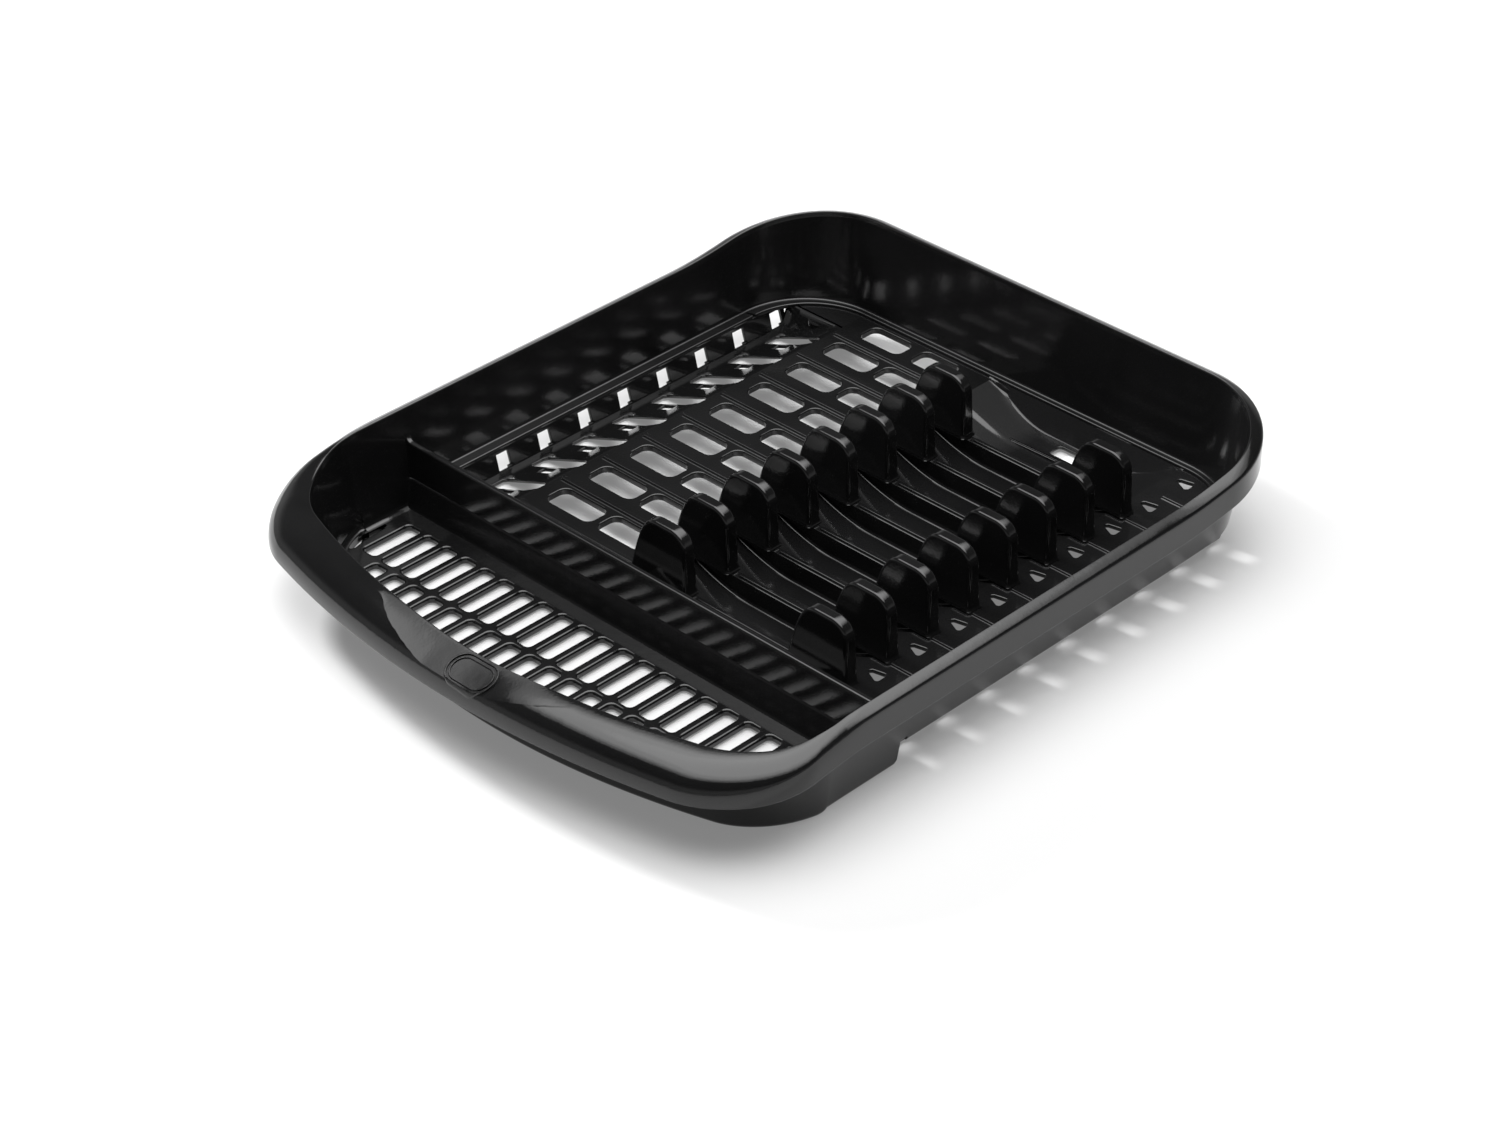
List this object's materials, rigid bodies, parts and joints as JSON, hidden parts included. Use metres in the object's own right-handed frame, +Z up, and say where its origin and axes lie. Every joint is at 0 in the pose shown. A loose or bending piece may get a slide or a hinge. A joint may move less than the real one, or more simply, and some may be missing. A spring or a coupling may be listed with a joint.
{
  "type": "dish drying rack",
  "caption": "Moulded countertop dish drying rack: leaning basin walls, a front carrying handle, a slotted cutlery compartment and two rows of upright plate fins.",
  "frame": {"origin": "centre of the bounding box's footprint, on the worktop", "axes": "+X across the rack, away from the slotted platform; +Y from the carrying handle to the back; +Z up"},
  "size_m": [0.382, 0.467, 0.0745],
  "materials": {
    "moulded_black": "glossy injection-moulded black plastic, slightly greyer where worn",
    "badge_black": "glossy black plastic, moulded oval badge left blank"
  },
  "bodies": {
    "root": {"front_handle": "moulded_black", "handle_badge": "badge_black", "rim_left": "moulded_black", "rim_right": "moulded_black", "rim_back": "moulded_black", "wall_front": "moulded_black", "wall_left": "moulded_black", "wall_right": "moulded_black", "wall_back": "moulded_black", "ledge_left": "moulded_black", "ledge_right": "moulded_black", "ledge_back": "moulded_black", "window_wall_left": "moulded_black", "window_wall_right": "moulded_black", "gutter_left": "moulded_black", "gutter_right": "moulded_black", "platform_left_deck": "moulded_black", "platform_right_deck": "moulded_black", "corner_deck_left": "moulded_black", "corner_deck_right": "moulded_black", "cutlery_floor": "moulded_black", "divider": "moulded_black", "low_wall_back": "moulded_black", "rear_foot_left": "moulded_black", "rear_foot_right": "moulded_black", "channel_1": "moulded_black", "channel_2": "moulded_black", "channel_3": "moulded_black", "channel_4": "moulded_black", "channel_5": "moulded_black", "channel_6": "moulded_black", "channel_7": "moulded_black", "channel_8": "moulded_black", "channel_9": "moulded_black", "channel_10": "moulded_black", "rib_1": "moulded_black", "rib_2": "moulded_black", "rib_3": "moulded_black", "rib_4": "moulded_black", "rib_5": "moulded_black", "rib_6": "moulded_black", "rib_7": "moulded_black", "rib_8": "moulded_black", "rib_9": "moulded_black", "fin_left_1": "moulded_black", "fin_left_2": "moulded_black", "fin_left_3": "moulded_black", "fin_left_4": "moulded_black", "fin_left_5": "moulded_black", "fin_left_6": "moulded_black", "fin_left_7": "moulded_black", "fin_left_8": "moulded_black", "fin_right_1": "moulded_black", "fin_right_2": "moulded_black", "fin_right_3": "moulded_black", "fin_right_4": "moulded_black", "fin_right_5": "moulded_black", "fin_right_6": "moulded_black", "fin_right_7": "moulded_black", "fin_right_8": "moulded_black"}
  },
  "joints": []
}
